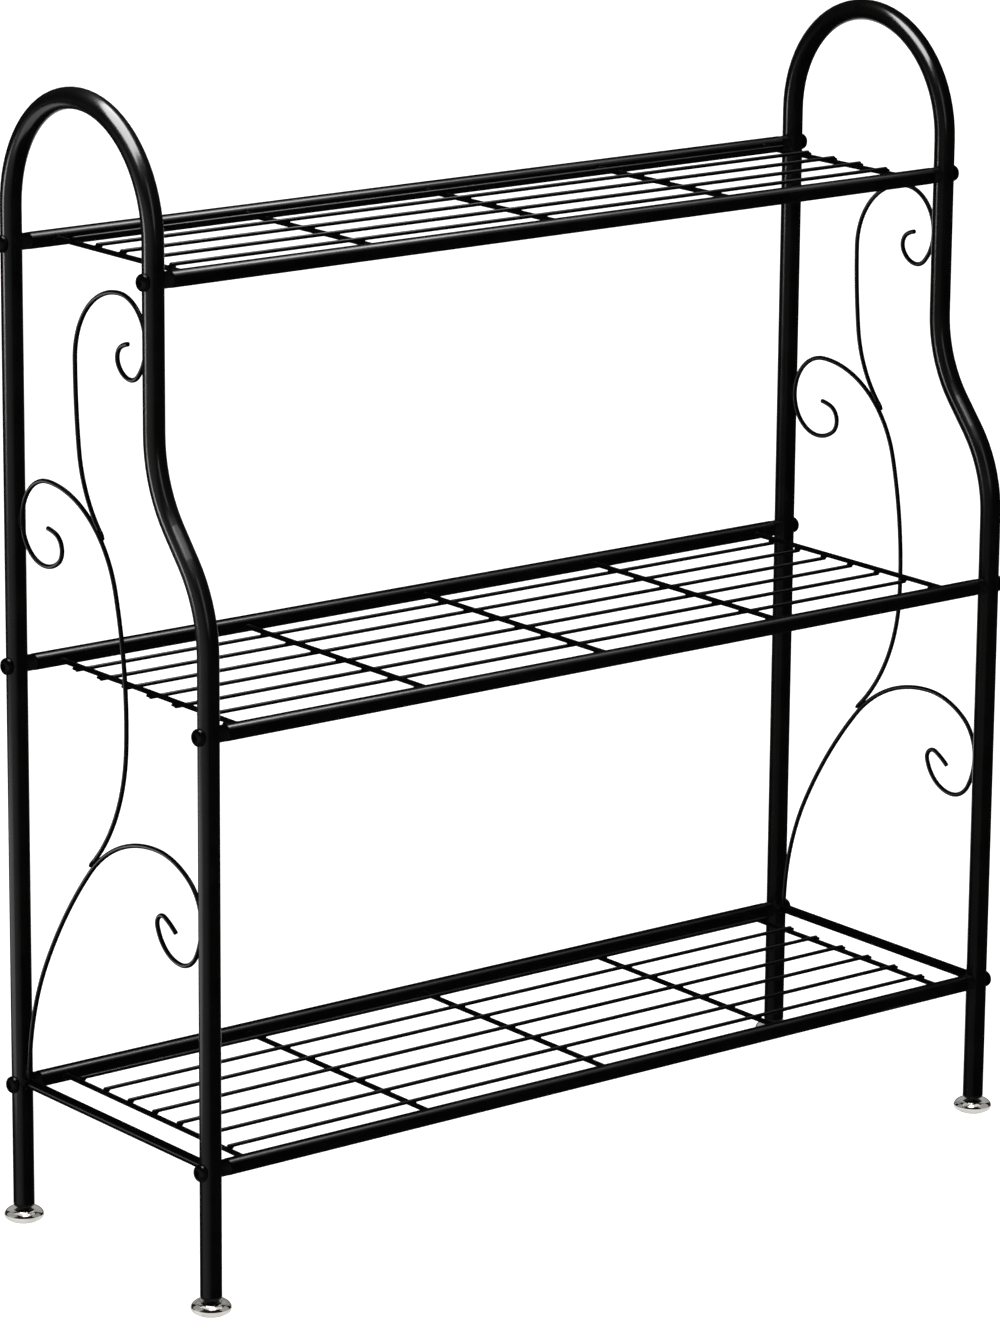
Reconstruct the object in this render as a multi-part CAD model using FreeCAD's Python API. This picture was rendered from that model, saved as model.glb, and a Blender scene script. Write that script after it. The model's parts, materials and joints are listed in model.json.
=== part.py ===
import FreeCAD, Part
import math
import os

from FreeCAD import Vector

# Three-tier plant stand of black steel tube and wire.
# Two bent side frames carry three wire shelves, and four screw feet level it.
# Millimetres. X runs along the shelves, Y from front to back, Z up from the floor.
# The origin is on the floor, midway between the four feet.

# Layout of the stand, between tube axes
FRAME_SPACING = 740.0
LOWER_DEPTH = 242.0
UPPER_DEPTH = 178.0
BOTTOM_SHELF_HEIGHT = 107.0
LOWER_TIER_GAP = 322.0
UPPER_TIER_GAP = 313.0
ARCH_STRAIGHT = 27.0

# Bent side tubes: back leg, arch, front leg with its S-shaped set forward
LEG_DIAMETER = 16.0
LEG_WALL = 1.0
SET_RADIUS = 100.0
SET_ANGLE = 40.0
SET_RISE = 130.0

# Bar welded between the two legs of a side frame
CROSS_BAR_DIAMETER = 7.5
CROSS_BAR_LIFT = 2.0

# Shelf tubes
SHELF_TUBE_DIAMETER = 12.7
SHELF_TUBE_WALL = 1.0
SHELF_TUBE_END_ROUND = 0.6

# Shelf wires: stout cross wires from tube to tube, thin long wires across them
CROSS_WIRE_DIAMETER = 4.0
CROSS_WIRE_COUNT = 5
CROSS_WIRE_INSET = 35.0
CROSS_WIRE_OFFSET = 0.5
LONG_WIRE_DIAMETER = 3.0
LONG_WIRE_OVERHANG = 1.5
LONG_WIRE_END_ROUND = 1.4
TOP_LONG_WIRE_COUNT = 5
TOP_LONG_WIRE_PITCH = 30.5
LOWER_LONG_WIRE_COUNT = 7
LOWER_LONG_WIRE_PITCH = 31.5

# How far a welded wire is pressed down onto what it crosses
WELD_SET_DOWN = 0.2

# Scroll wires: where each one touches its leg, from a shelf's tube axis
SCROLL_WIRE_DIAMETER = 3.5
UPPER_SCROLL_DROP = 47.0
MIDDLE_SCROLL_RISE = 111.0
LOWER_SCROLL_RISE = 181.0

# Bend radii of the upper scroll, from its leg over the crest and from its leg into the curl
UPPER_CREST_FRONT_RADIUS = 32.0
UPPER_CREST_BACK_RADIUS = 56.5
UPPER_CURL_SIDE_RADIUS = 34.0
UPPER_CURL_LOW_RADIUS = 13.0
UPPER_CURL_BACK_RADIUS = 17.0
UPPER_CURL_TOP_RADIUS = 10.0
UPPER_CURL_END_RADIUS = 25.0

# Bend radii of the middle scroll
MIDDLE_CREST_BACK_RADIUS = 34.5
MIDDLE_CREST_FRONT_RADIUS = 87.0
MIDDLE_CURL_SIDE_RADIUS = 29.0
MIDDLE_CURL_LOW_RADIUS = 30.0
MIDDLE_CURL_FRONT_RADIUS = 12.0
MIDDLE_CURL_END_RADIUS = 40.0

# Bend radii of the lower scroll
LOWER_CREST_SIDE_RADIUS = 36.0
LOWER_CREST_TOP_RADIUS = 70.0
LOWER_CREST_BACK_RADIUS = 114.0
LOWER_CURL_SIDE_RADIUS = 50.0
LOWER_CURL_LOW_RADIUS = 22.0
LOWER_CURL_BACK_RADIUS = 30.0
LOWER_CURL_TOP_RADIUS = 7.0
LOWER_CURL_END_RADIUS = 60.0

# Turn past the crest of the next wire at which a scroll lies against it
UPPER_SCROLL_JOIN_TURN = 47.0
MIDDLE_SCROLL_JOIN_TURN = 43.5

# Button-head bolts through the legs into threaded inserts in the shelf tubes
BOLT_DIAMETER = 6.0
BOLT_HEAD_DIAMETER = 13.0
BOLT_HEAD_HEIGHT = 4.2
BOLT_CROWN_DIAMETER = 7.0
BOLT_SOCKET_WIDTH = 5.0
BOLT_SOCKET_DEPTH = 2.8
BOLT_TIP_CHAMFER = 0.8
BOLT_HOLE_CLEARANCE = 0.25
THREAD_CLEARANCE = 0.04
SADDLE_LENGTH = 6.0
SADDLE_DIAMETER = 12.3
INSERT_LENGTH = 16.0
BOLT_SPARE_THREAD = 2.0

# Screw feet
FOOT_DIAMETER = 30.0
FOOT_HEIGHT = 8.6
FOOT_EDGE_HEIGHT = 4.6
FOOT_CROWN_DIAMETER = 14.0
FOOT_RIM_DIAMETER = 26.0
FOOT_RIM_LIFT = 0.6
PAD_DIAMETER = 24.0
PAD_THICKNESS = 2.0
STEM_DIAMETER = 8.0
STEM_SPIGOT_DIAMETER = 6.0
STEM_RIVET_DIAMETER = 9.6
STEM_RIVET_HEIGHT = 1.2
STEM_TIP_CHAMFER = 1.0
FOOT_GAP = 1.4
PLUG_FLANGE_HEIGHT = 3.0
PLUG_EDGE_ROUND = 2.4
PLUG_DEPTH = 22.0
RUNNING_CLEARANCE = 0.05

# Places that follow from the sizes above
LEG_RADIUS = LEG_DIAMETER / 2
BACK_Y = LOWER_DEPTH / 2
LOWER_FRONT_Y = -LOWER_DEPTH / 2
UPPER_FRONT_Y = BACK_Y - UPPER_DEPTH
SIDES = {"left": -1, "right": 1}
MIDDLE_SHELF_HEIGHT = BOTTOM_SHELF_HEIGHT + LOWER_TIER_GAP
TOP_SHELF_HEIGHT = MIDDLE_SHELF_HEIGHT + UPPER_TIER_GAP
ARCH_HEIGHT = TOP_SHELF_HEIGHT + ARCH_STRAIGHT
PLUG_BOTTOM = FOOT_HEIGHT + FOOT_GAP
LEG_BOTTOM = PLUG_BOTTOM + PLUG_FLANGE_HEIGHT
PLUG_TOP = LEG_BOTTOM + PLUG_DEPTH
CROSS_BAR_HEIGHT = BOTTOM_SHELF_HEIGHT + CROSS_BAR_LIFT
SHELF_TUBE_HALF = FRAME_SPACING / 2 - LEG_RADIUS - SADDLE_LENGTH
SCROLL_LEG_GAP = LEG_RADIUS + SCROLL_WIRE_DIAMETER / 2 - WELD_SET_DOWN
SCROLL_WIRE_GAP = SCROLL_WIRE_DIAMETER - WELD_SET_DOWN

# Bends of each scroll, a radius and a turn in degrees, starting where the wire touches its leg
UPPER_SCROLL_CREST = ((UPPER_CREST_FRONT_RADIUS, 90), (UPPER_CREST_BACK_RADIUS, 90))
UPPER_SCROLL_CURL = ((UPPER_CURL_SIDE_RADIUS, 45), (UPPER_CURL_LOW_RADIUS, 45),
                     (UPPER_CURL_BACK_RADIUS, 60), (UPPER_CURL_TOP_RADIUS, 90),
                     (UPPER_CURL_END_RADIUS, 20))
MIDDLE_SCROLL_CREST = ((MIDDLE_CREST_BACK_RADIUS, 90), (MIDDLE_CREST_FRONT_RADIUS, 75))
MIDDLE_SCROLL_CURL = ((MIDDLE_CURL_SIDE_RADIUS, 90), (MIDDLE_CURL_LOW_RADIUS, 35),
                      (MIDDLE_CURL_FRONT_RADIUS, 125), (MIDDLE_CURL_END_RADIUS, 15))
LOWER_SCROLL_CREST = ((LOWER_CREST_SIDE_RADIUS, 55), (LOWER_CREST_TOP_RADIUS, 35),
                      (LOWER_CREST_BACK_RADIUS, 48))
LOWER_SCROLL_CURL = ((LOWER_CURL_SIDE_RADIUS, 30), (LOWER_CURL_LOW_RADIUS, 60),
                     (LOWER_CURL_BACK_RADIUS, 75), (LOWER_CURL_TOP_RADIUS, 130),
                     (LOWER_CURL_END_RADIUS, 15))


class Shelf:
    """One shelf: its height, the place of its front tube and its wires."""

    def __init__(self, name, height, front_y, wire_count, wire_pitch, wire_side):
        self.name = name
        self.height = height
        self.front_y = front_y
        self.wire_count = wire_count
        self.wire_pitch = wire_pitch
        self.wire_side = wire_side

    def tube_places(self):
        """Name and Y of the two tubes."""
        return (("front", self.front_y), ("back", BACK_Y))

    def cross_wire_height(self):
        """Axis of the cross wires, a little off the tube axes towards the long wires."""
        return self.height + self.wire_side * CROSS_WIRE_OFFSET

    def long_wire_height(self):
        """Axis of the long wires, welded on top of the cross wires or below them."""
        step = (CROSS_WIRE_DIAMETER + LONG_WIRE_DIAMETER) / 2 - WELD_SET_DOWN
        return self.cross_wire_height() + self.wire_side * step


SHELVES = (
    Shelf("top", TOP_SHELF_HEIGHT, UPPER_FRONT_Y, TOP_LONG_WIRE_COUNT, TOP_LONG_WIRE_PITCH, 1),
    Shelf("middle", MIDDLE_SHELF_HEIGHT, LOWER_FRONT_Y, LOWER_LONG_WIRE_COUNT,
          LOWER_LONG_WIRE_PITCH, -1),
    Shelf("bottom", BOTTOM_SHELF_HEIGHT, LOWER_FRONT_Y, LOWER_LONG_WIRE_COUNT,
          LOWER_LONG_WIRE_PITCH, 1),
)


def save(name, solids):
    """Writes one named piece, or a group of like pieces, and prints its volume."""
    shape = solids[0] if len(solids) == 1 else Part.makeCompound(solids)
    shape.exportStep("parts/" + name + ".step")
    print(name, len(shape.Solids), shape.isValid(), round(shape.Volume, 1))


def rod(start, end, diameter):
    """A round bar between two points."""
    along = end - start
    return Part.makeCylinder(diameter / 2, along.Length, start, along)


def rounded_rod(start, end, diameter, end_round):
    """A round bar between two points, its ends rounded off."""
    bar = rod(start, end, diameter)
    rims = [edge for edge in bar.Edges if isinstance(edge.Curve, Part.Circle)]
    return bar.makeFillet(end_round, rims)


def turned(profile, centre):
    """A solid turned about a vertical line from a closed profile of edges in radius and height."""
    solid = Part.Face(Part.Wire(profile)).revolve(Vector(0, 0, 0), Vector(0, 0, 1), 360)
    solid.translate(centre)
    return solid


def polygon(points):
    """Edges of an open run of straight lines through points of radius and height."""
    corners = [Vector(radius, 0, height) for radius, height in points]
    return [Part.makeLine(start, end) for start, end in zip(corners, corners[1:])]


def arc_through(start, middle, end):
    """An arc through three points of radius and height."""
    corners = [Vector(radius, 0, height) for radius, height in (start, middle, end)]
    return Part.Arc(*corners).toShape()


class BentPath:
    """A path of straight runs and tangent arcs in the upright plane of a side frame.

    A heading is in degrees, from straight back towards straight up.
    """

    UP = math.degrees(math.pi / 2)
    DOWN = UP + math.degrees(math.pi)

    def __init__(self, plane_x, y, z, heading):
        self.plane_x = plane_x
        self.y = y
        self.z = z
        self.heading = heading
        self.edges = []

    def _move(self, y, z):
        """Goes to a place and gives the start and end points of the move."""
        start = self.point()
        self.y = y
        self.z = z
        return start, self.point()

    def point(self):
        """The place that the path has reached."""
        return Vector(self.plane_x, self.y, self.z)

    def direction(self):
        """Unit Y and Z of the present heading."""
        angle = math.radians(self.heading)
        return math.cos(angle), math.sin(angle)

    def straight(self, length):
        """Runs straight on."""
        step_y, step_z = self.direction()
        start, end = self._move(self.y + length * step_y, self.z + length * step_z)
        self.edges.append(Part.makeLine(start, end))

    def bend(self, radius, turn):
        """Turns by some degrees, to the left when positive."""
        side = math.copysign(1.0, turn)
        step_y, step_z = self.direction()
        centre_y = self.y - side * radius * step_z
        centre_z = self.z + side * radius * step_y
        places = []
        for share in (0.5, 1.0):
            angle = math.radians(self.heading + share * turn)
            places.append((centre_y + side * radius * math.sin(angle),
                           centre_z - side * radius * math.cos(angle)))
        middle = Vector(self.plane_x, *places[0])
        start, end = self._move(*places[1])
        self.heading += turn
        self.edges.append(Part.Arc(start, middle, end).toShape())

    def bend_to(self, y, z):
        """Turns along the one tangent arc that ends at a place."""
        reach = math.hypot(y - self.y, z - self.z)
        turn = 2 * (math.degrees(math.atan2(z - self.z, y - self.y)) - self.heading)
        turn = (turn + 360) % 720 - 360
        self.bend(reach / (2 * math.sin(math.radians(abs(turn) / 2))), turn)

    def blend_to(self, y, z, heading):
        """Ends at a place with a set heading, by two tangent arcs."""
        start_y, start_z = self.direction()
        end_y = math.cos(math.radians(heading))
        end_z = math.sin(math.radians(heading))
        gap_y = y - self.y
        gap_z = z - self.z
        square = 2 * (1 - start_y * end_y - start_z * end_z)
        linear = 2 * (gap_y * (start_y + end_y) + gap_z * (start_z + end_z))
        constant = -gap_y ** 2 - gap_z ** 2
        arm = (-linear + math.sqrt(linear ** 2 - 4 * square * constant)) / (2 * square)
        self.bend_to((self.y + y + arm * (start_y - end_y)) / 2,
                     (self.z + z + arm * (start_z - end_z)) / 2)
        self.bend_to(y, z)

    def sweep(self, diameter, start, heading):
        """A round bar along the path, which began at a point with some heading."""
        angle = math.radians(heading)
        normal = Vector(0, math.cos(angle), math.sin(angle))
        ring = Part.Wire(Part.makeCircle(diameter / 2, start, normal))
        return Part.Wire(self.edges).makePipeShell([ring], True, False)


def leg_path(plane_x):
    """Axis of a side tube: up the back leg, over the arch and down the front leg."""
    offset = LOWER_DEPTH - UPPER_DEPTH
    set_sine = math.sin(math.radians(SET_ANGLE))
    set_cosine = math.cos(math.radians(SET_ANGLE))
    slant = (offset - 2 * SET_RADIUS * (1 - set_cosine)) / set_sine
    set_height = 2 * SET_RADIUS * set_sine + slant * set_cosine
    set_top = MIDDLE_SHELF_HEIGHT + SET_RISE + set_height / 2
    path = BentPath(plane_x, BACK_Y, LEG_BOTTOM, BentPath.UP)
    path.straight(ARCH_HEIGHT - LEG_BOTTOM)
    path.bend(UPPER_DEPTH / 2, BentPath.DOWN - BentPath.UP)
    path.straight(ARCH_HEIGHT - set_top)
    path.bend(SET_RADIUS, -SET_ANGLE)
    path.straight(slant)
    path.bend(SET_RADIUS, SET_ANGLE)
    path.straight(set_top - set_height - LEG_BOTTOM)
    return path


def bolt_places():
    """Y and Z of the six bolts of a side frame."""
    return [(y, shelf.height) for shelf in SHELVES for _, y in shelf.tube_places()]


def side_tube(plane_x):
    """A bent tube with six bolt holes, and the solid bar of its outer skin."""
    path = leg_path(plane_x)
    start = Vector(plane_x, BACK_Y, LEG_BOTTOM)
    outer = path.sweep(LEG_DIAMETER, start, BentPath.UP)
    bore = path.sweep(LEG_DIAMETER - 2 * LEG_WALL, start, BentPath.UP)
    across = Vector(LEG_DIAMETER, 0, 0)
    hole_diameter = BOLT_DIAMETER + 2 * BOLT_HOLE_CLEARANCE
    holes = []
    for y, z in bolt_places():
        centre = Vector(plane_x, y, z)
        holes.append(rod(centre - across, centre + across, hole_diameter))
    return outer.cut(bore).cut(Part.makeCompound(holes)), outer


def cross_bar(plane_x, frame):
    """The bar between back and front leg, coped to both."""
    start = Vector(plane_x, BACK_Y, CROSS_BAR_HEIGHT)
    end = Vector(plane_x, LOWER_FRONT_Y, CROSS_BAR_HEIGHT)
    return rod(start, end, CROSS_BAR_DIAMETER).cut(frame)


def scroll_path(contact, curl, crest, hand):
    """Paths of a scroll's curl and crest, both from the place where it touches its leg."""
    inner = BentPath(*contact, BentPath.DOWN)
    for radius, turn in curl:
        inner.bend(radius, hand * turn)
    outer = BentPath(*contact, BentPath.UP)
    for radius, turn in crest:
        outer.bend(radius, -hand * turn)
    return inner, outer


def scroll_wire(inner, outer, contact, neighbours):
    """A scroll bent to its two paths, and trimmed where it is welded to its neighbours."""
    start = Vector(*contact)
    curl = inner.sweep(SCROLL_WIRE_DIAMETER, start, BentPath.DOWN)
    crest = outer.sweep(SCROLL_WIRE_DIAMETER, start, BentPath.UP)
    whole = curl.fuse(crest).removeSplitter()
    return whole.cut(Part.makeCompound(neighbours)).Solids


def largest(solids):
    """The main solid of a trimmed wire."""
    return max(solids, key=lambda solid: solid.Volume)


def join_place(crest_y, crest_z, radius, turn, hand):
    """Place and heading beside another wire, some turn past the top of its crest."""
    angle = math.radians(turn)
    reach = radius + SCROLL_WIRE_GAP
    heading = -turn if hand > 0 else 180.0 + turn
    return (crest_y + hand * reach * math.sin(angle),
            crest_z - radius + reach * math.cos(angle), heading)


def crest_top(contact, bends, hand):
    """Y and Z of the top of a crest, after the bends that rise to it."""
    path = BentPath(*contact, BentPath.UP)
    for radius, turn in bends:
        path.bend(radius, -hand * turn)
    return path.y, path.z


def scrolls(plane_x, frame, bar):
    """The three scroll wires of a side frame, welded to the legs and to each other."""
    upper_contact = (plane_x, UPPER_FRONT_Y + SCROLL_LEG_GAP, TOP_SHELF_HEIGHT - UPPER_SCROLL_DROP)
    middle_contact = (plane_x, BACK_Y - SCROLL_LEG_GAP, MIDDLE_SHELF_HEIGHT + MIDDLE_SCROLL_RISE)
    lower_contact = (plane_x, LOWER_FRONT_Y + SCROLL_LEG_GAP,
                     BOTTOM_SHELF_HEIGHT + LOWER_SCROLL_RISE)

    inner, outer = scroll_path(lower_contact, LOWER_SCROLL_CURL, LOWER_SCROLL_CREST, 1)
    outer.blend_to(BACK_Y - SCROLL_LEG_GAP, CROSS_BAR_HEIGHT, BentPath.DOWN)
    lower = largest(scroll_wire(inner, outer, lower_contact, [frame, bar]))

    inner, outer = scroll_path(middle_contact, MIDDLE_SCROLL_CURL, MIDDLE_SCROLL_CREST, -1)
    lower_crest = crest_top(lower_contact, LOWER_SCROLL_CREST[:-1], 1)
    outer.blend_to(*join_place(*lower_crest, LOWER_SCROLL_CREST[-1][0], MIDDLE_SCROLL_JOIN_TURN, 1))
    middle = largest(scroll_wire(inner, outer, middle_contact, [frame, lower]))

    inner, outer = scroll_path(upper_contact, UPPER_SCROLL_CURL, UPPER_SCROLL_CREST, 1)
    middle_crest = crest_top(middle_contact, MIDDLE_SCROLL_CREST[:-1], -1)
    outer.blend_to(*join_place(*middle_crest, MIDDLE_SCROLL_CREST[-1][0], UPPER_SCROLL_JOIN_TURN, -1))
    upper = largest(scroll_wire(inner, outer, upper_contact, [frame, middle]))
    return {"upper": upper, "middle": middle, "lower": lower}


def shelf_tube(y, z):
    """A straight tube with rounded ends, between the two side frames."""
    start = Vector(-SHELF_TUBE_HALF, y, z)
    end = Vector(SHELF_TUBE_HALF, y, z)
    bar = rounded_rod(start, end, SHELF_TUBE_DIAMETER, SHELF_TUBE_END_ROUND)
    return bar.cut(rod(start, end, SHELF_TUBE_DIAMETER - 2 * SHELF_TUBE_WALL))


def cross_wires(shelf):
    """The stout wires from tube to tube, coped to both tubes."""
    tubes = []
    for _, y in shelf.tube_places():
        tubes.append(rod(Vector(-SHELF_TUBE_HALF, y, shelf.height),
                         Vector(SHELF_TUBE_HALF, y, shelf.height), SHELF_TUBE_DIAMETER))
    first = -FRAME_SPACING / 2 + CROSS_WIRE_INSET
    pitch = -2 * first / (CROSS_WIRE_COUNT - 1)
    wires = []
    for index in range(CROSS_WIRE_COUNT):
        x = first + index * pitch
        start = Vector(x, shelf.front_y, shelf.cross_wire_height())
        end = Vector(x, BACK_Y, shelf.cross_wire_height())
        wires.append(rod(start, end, CROSS_WIRE_DIAMETER).cut(Part.makeCompound(tubes)).Solids[0])
    return wires


def long_wires(shelf, crossed):
    """The thin wires that run along the shelf, each seated on every cross wire."""
    half = FRAME_SPACING / 2 - CROSS_WIRE_INSET + LONG_WIRE_OVERHANG
    first = (shelf.front_y + BACK_Y - (shelf.wire_count - 1) * shelf.wire_pitch) / 2
    seats = Part.makeCompound(crossed)
    wires = []
    for index in range(shelf.wire_count):
        y = first + index * shelf.wire_pitch
        start = Vector(-half, y, shelf.long_wire_height())
        end = Vector(half, y, shelf.long_wire_height())
        wire = rounded_rod(start, end, LONG_WIRE_DIAMETER, LONG_WIRE_END_ROUND)
        wires.append(wire.cut(seats).Solids[0])
    return wires


def corner_places(shelf):
    """Side, leg axis and tube axis of the four bolted corners of a shelf."""
    for side in SIDES.values():
        for _, y in shelf.tube_places():
            yield side, Vector(side * FRAME_SPACING / 2, y, shelf.height)


def laid_inward(solid, side, corner):
    """Lays an upright piece along X so that its height points from a leg's axis to the shelf."""
    solid.rotate(Vector(0, 0, 0), Vector(0, 1, 0), -side * 90.0)
    solid.translate(corner)
    return solid


def saddle_spacer(side, corner):
    """A collar between leg and shelf tube, hollowed to sit on the leg."""
    reach = LEG_RADIUS + SADDLE_LENGTH
    bore = BOLT_DIAMETER / 2 + BOLT_HOLE_CLEARANCE
    collar = Part.makeCylinder(SADDLE_DIAMETER / 2, reach)
    collar = laid_inward(collar.cut(Part.makeCylinder(bore, reach)), side, corner)
    height = Vector(0, 0, LEG_DIAMETER)
    return collar.cut(rod(corner - height, corner + height, LEG_DIAMETER)).Solids[0]


def threaded_insert(side, corner):
    """A steel plug in the end of a shelf tube, bored for the bolt's thread."""
    base = Vector(0, 0, LEG_RADIUS + SADDLE_LENGTH)
    plug = Part.makeCylinder(SHELF_TUBE_DIAMETER / 2 - SHELF_TUBE_WALL, INSERT_LENGTH, base)
    bore = Part.makeCylinder(BOLT_DIAMETER / 2 + THREAD_CLEARANCE, INSERT_LENGTH, base)
    return laid_inward(plug.cut(bore), side, corner)


def hexagon_socket(top):
    """The hexagonal recess that a key fits, cut downwards from a height."""
    corner = BOLT_SOCKET_WIDTH / math.sqrt(3)
    points = []
    for index in range(7):
        angle = math.radians(60 * index)
        points.append(Vector(corner * math.cos(angle), corner * math.sin(angle), top))
    return Part.Face(Part.makePolygon(points)).extrude(Vector(0, 0, BOLT_SOCKET_DEPTH))


def shelf_bolt(side, corner):
    """A button-head bolt, its head on the outside of the leg."""
    seat = -LEG_RADIUS
    top = seat - BOLT_HEAD_HEIGHT
    tip = LEG_RADIUS + SADDLE_LENGTH + INSERT_LENGTH + BOLT_SPARE_THREAD
    head = BOLT_HEAD_DIAMETER / 2
    crown = BOLT_CROWN_DIAMETER / 2
    shank = BOLT_DIAMETER / 2
    slope = math.sqrt(0.5)
    shoulder = (crown + (head - crown) * slope, seat - BOLT_HEAD_HEIGHT * slope)
    profile = polygon(((0, top), (crown, top)))
    profile.append(arc_through((crown, top), shoulder, (head, seat)))
    profile += polygon(((head, seat), (shank, seat), (shank, tip - BOLT_TIP_CHAMFER),
                        (shank - BOLT_TIP_CHAMFER, tip), (0, tip), (0, top)))
    bolt = turned(profile, Vector(0, 0, 0)).cut(hexagon_socket(top))
    return laid_inward(bolt, side, corner)


def foot_cap(centre):
    """The domed metal disc, hollow below for the pad and the stem's riveted end."""
    bore = STEM_SPIGOT_DIAMETER / 2 + RUNNING_CLEARANCE
    chamber = STEM_RIVET_DIAMETER / 2 + RUNNING_CLEARANCE
    web = PAD_THICKNESS + STEM_RIVET_HEIGHT + 2 * RUNNING_CLEARANCE
    crown = FOOT_CROWN_DIAMETER / 2
    edge = FOOT_DIAMETER / 2
    rim = FOOT_RIM_DIAMETER / 2
    slope = math.sqrt(0.5)
    dome = (crown + (edge - crown) * slope,
            FOOT_EDGE_HEIGHT + (FOOT_HEIGHT - FOOT_EDGE_HEIGHT) * slope)
    under = (rim + (edge - rim) * slope,
             FOOT_EDGE_HEIGHT - (FOOT_EDGE_HEIGHT - FOOT_RIM_LIFT) * slope)
    profile = polygon(((bore, web), (bore, FOOT_HEIGHT), (crown, FOOT_HEIGHT)))
    profile.append(arc_through((crown, FOOT_HEIGHT), dome, (edge, FOOT_EDGE_HEIGHT)))
    profile.append(arc_through((edge, FOOT_EDGE_HEIGHT), under, (rim, FOOT_RIM_LIFT)))
    profile += polygon(((rim, FOOT_RIM_LIFT), (PAD_DIAMETER / 2, FOOT_RIM_LIFT),
                        (PAD_DIAMETER / 2, PAD_THICKNESS), (chamber, PAD_THICKNESS),
                        (chamber, web), (bore, web)))
    return turned(profile, centre)


def foot_pad(centre):
    """The flat sole that rests on the floor, set into the disc."""
    return Part.makeCylinder(PAD_DIAMETER / 2, PAD_THICKNESS, centre)


def foot_stem(centre):
    """The threaded stem, its lower end riveted over inside the disc."""
    rivet = STEM_RIVET_DIAMETER / 2
    spigot = STEM_SPIGOT_DIAMETER / 2
    stem = STEM_DIAMETER / 2
    low = PAD_THICKNESS + RUNNING_CLEARANCE
    neck = low + STEM_RIVET_HEIGHT
    seat = FOOT_HEIGHT + RUNNING_CLEARANCE
    profile = polygon(((0, low), (rivet, low), (rivet, neck), (spigot, neck), (spigot, seat),
                       (stem, seat), (stem, PLUG_TOP - STEM_TIP_CHAMFER),
                       (stem - STEM_TIP_CHAMFER, PLUG_TOP), (0, PLUG_TOP), (0, low)))
    return turned(profile, centre)


def leg_plug(centre):
    """The threaded plug in the end of a leg, with a flange of the leg's own size."""
    bore = STEM_DIAMETER / 2 + RUNNING_CLEARANCE
    body = LEG_RADIUS - LEG_WALL
    bend = PLUG_EDGE_ROUND * (1 - math.sqrt(0.5))
    low_corner = (LEG_RADIUS - PLUG_EDGE_ROUND, PLUG_BOTTOM)
    high_corner = (LEG_RADIUS, PLUG_BOTTOM + PLUG_EDGE_ROUND)
    profile = polygon(((bore, PLUG_BOTTOM), low_corner))
    profile.append(arc_through(low_corner, (LEG_RADIUS - bend, PLUG_BOTTOM + bend), high_corner))
    profile += polygon((high_corner, (LEG_RADIUS, LEG_BOTTOM), (body, LEG_BOTTOM),
                        (body, PLUG_TOP), (bore, PLUG_TOP), (bore, PLUG_BOTTOM)))
    return turned(profile, centre)


def build_side_frames():
    """Both side frames: bent tube, cross bar and scrollwork."""
    for side_name, side in SIDES.items():
        plane_x = side * FRAME_SPACING / 2
        tube, skin = side_tube(plane_x)
        bar = cross_bar(plane_x, skin)
        save(side_name + "_side_tube", tube.Solids)
        save(side_name + "_cross_bar", bar.Solids)
        for place, wire in scrolls(plane_x, skin, bar).items():
            save(side_name + "_" + place + "_scroll", [wire])


def build_shelves():
    """The three shelves and what bolts them to the side frames."""
    for shelf in SHELVES:
        for place, y in shelf.tube_places():
            save(shelf.name + "_" + place + "_tube", shelf_tube(y, shelf.height).Solids)
        crossed = cross_wires(shelf)
        for index, wire in enumerate(crossed):
            save(shelf.name + "_cross_wire_" + str(index + 1), [wire])
        save(shelf.name + "_long_wires", long_wires(shelf, crossed))
        corners = list(corner_places(shelf))
        save(shelf.name + "_saddle_spacers", [saddle_spacer(*corner) for corner in corners])
        save(shelf.name + "_threaded_inserts", [threaded_insert(*corner) for corner in corners])
        save(shelf.name + "_bolts", [shelf_bolt(*corner) for corner in corners])


def build_feet():
    """A plug, stem, disc and pad under each of the four legs."""
    for side_name, side in SIDES.items():
        for place, y in (("front", LOWER_FRONT_Y), ("back", BACK_Y)):
            centre = Vector(side * FRAME_SPACING / 2, y, 0)
            corner = place + "_" + side_name
            save(corner + "_leg_plug", [leg_plug(centre)])
            save(corner + "_foot_stem", [foot_stem(centre)])
            save(corner + "_foot_cap", [foot_cap(centre)])
            save(corner + "_foot_pad", [foot_pad(centre)])


os.makedirs("parts", exist_ok=True)
build_side_frames()
build_shelves()
build_feet()
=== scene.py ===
"""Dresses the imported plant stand: black coat, bright feet, threads and welds, in a plain studio.

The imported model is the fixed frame, in metres. X runs along the shelves, Y from front to back
and Z up from the floor. Every new piece is placed from the frame's own nodes.
"""

import json
import logging
import math
from abc import ABC, abstractmethod
from dataclasses import dataclass
from enum import Enum
from typing import Any

import bmesh
import bpy
from mathutils import Matrix, Vector


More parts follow.
